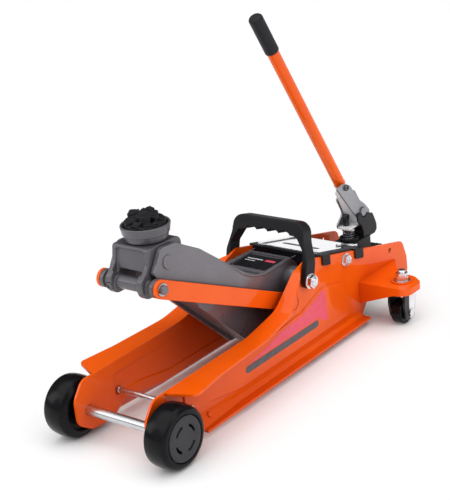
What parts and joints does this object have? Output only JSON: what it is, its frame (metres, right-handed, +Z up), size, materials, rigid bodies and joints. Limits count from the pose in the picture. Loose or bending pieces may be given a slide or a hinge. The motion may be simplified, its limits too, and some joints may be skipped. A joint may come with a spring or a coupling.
{
  "type": "hydraulic trolley jack",
  "caption": "Low hydraulic trolley jack: pressed side plates, lifting arm with swivel saddle on a parallel linkage, pump handle, front wheels and rear casters.",
  "frame": {"origin": "centre of the bounding box in plan, on the floor the wheels stand on", "axes": "+Z up, -Y towards the saddle end, +X to the left of someone at the saddle end facing rearward"},
  "size_m": [0.2498, 0.5684, 0.4182],
  "materials": {
    "orange_paint": "gloss powder paint",
    "grey_paint": "satin metallic grey paint",
    "zinc": "bright zinc plate",
    "ground_steel": "ground",
    "bright_sheet": "mirror bright",
    "black_block": "black painted casting",
    "black_plastic": "fine grain",
    "wheel_plastic": "satin",
    "cap_plastic": "satin",
    "black_paint": "satin",
    "label": "gloss, plain",
    "black_rubber": "matt"
  },
  "bodies": {
    "frame": {"side_plate_left": "orange_paint", "side_plate_right": "orange_paint", "tie_rod": "zinc", "frame_rivet_left": "zinc", "frame_rivet_right": "zinc", "caster_bracket_left": "orange_paint", "caster_bracket_right": "orange_paint", "swivel_bolt_left": "zinc", "swivel_bolt_right": "zinc", "front_axle": "zinc", "arm_pivot_shaft": "zinc", "pivot_nut_left": "zinc", "pivot_nut_right": "zinc", "link_stud_left": "zinc", "link_stud_right": "zinc", "pump_block": "black_block", "cylinder_tube": "black_block", "block_bolt_left": "zinc", "block_bolt_right": "zinc", "cover_frame": "black_plastic", "cover_plate": "bright_sheet", "carry_handle": "black_plastic", "handle_yoke": "black_block", "hinge_pin": "zinc", "plunger_collar": "black_rubber"},
    "front_left": {"front_wheel_left": "wheel_plastic", "wheel_cap_left": "cap_plastic"},
    "front_right": {"front_wheel_right": "wheel_plastic", "wheel_cap_right": "cap_plastic"},
    "arm": {"lift_arm": "grey_paint", "arm_pivot_tube": "ground_steel", "push_pin": "zinc", "arm_label": "label", "carrier_pin": "zinc"},
    "carrier": {"saddle_carrier": "grey_paint", "link_pin": "zinc", "link_clip_left": "zinc", "link_clip_right": "zinc", "carrier_screw": "zinc"},
    "saddle_cup": {"saddle": "grey_paint", "saddle_pad": "black_rubber"},
    "link_left": {"link_bar_left": "orange_paint"},
    "link_right": {"link_bar_right": "orange_paint"},
    "ram_rod": {"ram": "ground_steel"},
    "socket": {"handle_socket": "grey_paint", "socket_sleeve": "zinc", "socket_screw": "zinc", "socket_bolt": "zinc"},
    "handle": {"handle_tube": "orange_paint", "handle_grip": "black_rubber"},
    "valve": {"release_valve": "zinc"},
    "plunger": {"pump_plunger": "ground_steel", "pump_spring": "zinc"},
    "caster_left": {"caster_fork_left": "black_paint", "caster_axle_left": "zinc"},
    "caster_right": {"caster_fork_right": "black_paint", "caster_axle_right": "zinc"},
    "roller_left": {"caster_wheel_left": "wheel_plastic"},
    "roller_right": {"caster_wheel_right": "wheel_plastic"}
  },
  "joints": [
    {"name": "front_left_spin", "type": "hinge", "parent": "frame", "child": "front_left", "pos_m": [0.073, -0.24825, 0.036], "axis": [1, 0, 0], "continuous": true},
    {"name": "front_right_spin", "type": "hinge", "parent": "frame", "child": "front_right", "pos_m": [-0.073, -0.24825, 0.036], "axis": [1, 0, 0], "continuous": true},
    {"name": "arm_lift", "type": "hinge", "parent": "frame", "child": "arm", "pos_m": [0, 0.03275, 0.103], "axis": [-1, 0, 0], "range_deg": [-30, 25]},
    {"name": "carrier_tilt", "type": "hinge", "parent": "arm", "child": "carrier", "pos_m": [0, -0.18025, 0.201], "axis": [-1, 0, 0], "range_deg": [-25, 30]},
    {"name": "saddle_swivel", "type": "hinge", "parent": "carrier", "child": "saddle_cup", "pos_m": [0, -0.17375, 0.225], "axis": [0, 0, 1], "continuous": true},
    {"name": "link_left_lift", "type": "hinge", "parent": "frame", "child": "link_left", "pos_m": [0.041, 0.00735, 0.0826], "axis": [-1, 0, 0], "range_deg": [-30, 25]},
    {"name": "link_right_lift", "type": "hinge", "parent": "frame", "child": "link_right", "pos_m": [-0.041, 0.00735, 0.0826], "axis": [-1, 0, 0], "range_deg": [-30, 25]},
    {"name": "ram_push", "type": "slide", "parent": "frame", "child": "ram_rod", "axis": [0, -1, 0], "range_m": [-0.0252, 0.021]},
    {"name": "handle_pump", "type": "hinge", "parent": "frame", "child": "socket", "pos_m": [0, 0.23175, 0.1194], "axis": [-1, 0, 0], "range_deg": [0, 55]},
    {"name": "handle_twist", "type": "hinge", "parent": "socket", "child": "handle", "pos_m": [0, 0.21371, 0.14232], "axis": [0, -0.5135, 0.8581], "range_deg": [-90, 90]},
    {"name": "valve_turn", "type": "hinge", "parent": "frame", "child": "valve", "pos_m": [0, 0.27175, 0.0475], "axis": [0, 1, 0], "range_deg": [-95, 95]},
    {"name": "plunger_stroke", "type": "slide", "parent": "frame", "child": "plunger", "axis": [0, 0, 1], "range_m": [0, 0.0087], "deforming": ["pump_spring"]},
    {"name": "caster_left_swivel", "type": "hinge", "parent": "frame", "child": "caster_left", "pos_m": [0.101, 0.17575, 0.046], "axis": [0, 0, 1], "continuous": true},
    {"name": "roller_left_spin", "type": "hinge", "parent": "caster_left", "child": "roller_left", "pos_m": [0.101, 0.17175, 0.0165], "axis": [1, 0, 0], "continuous": true},
    {"name": "caster_right_swivel", "type": "hinge", "parent": "frame", "child": "caster_right", "pos_m": [-0.101, 0.17575, 0.046], "axis": [0, 0, 1], "continuous": true},
    {"name": "roller_right_spin", "type": "hinge", "parent": "caster_right", "child": "roller_right", "pos_m": [-0.101, 0.17175, 0.0165], "axis": [1, 0, 0], "continuous": true}
  ],
  "couplings": [
    {"joint": "carrier_tilt", "follows": "arm_lift", "ratio": -1},
    {"joint": "link_left_lift", "follows": "arm_lift", "ratio": 1},
    {"joint": "link_right_lift", "follows": "arm_lift", "ratio": 1},
    {"joint": "ram_push", "follows": "arm_lift", "m_per_rad": 0.048},
    {"joint": "valve_turn", "follows": "handle_twist", "ratio": 1},
    {"joint": "plunger_stroke", "follows": "handle_pump", "m_per_rad": 0.009}
  ]
}
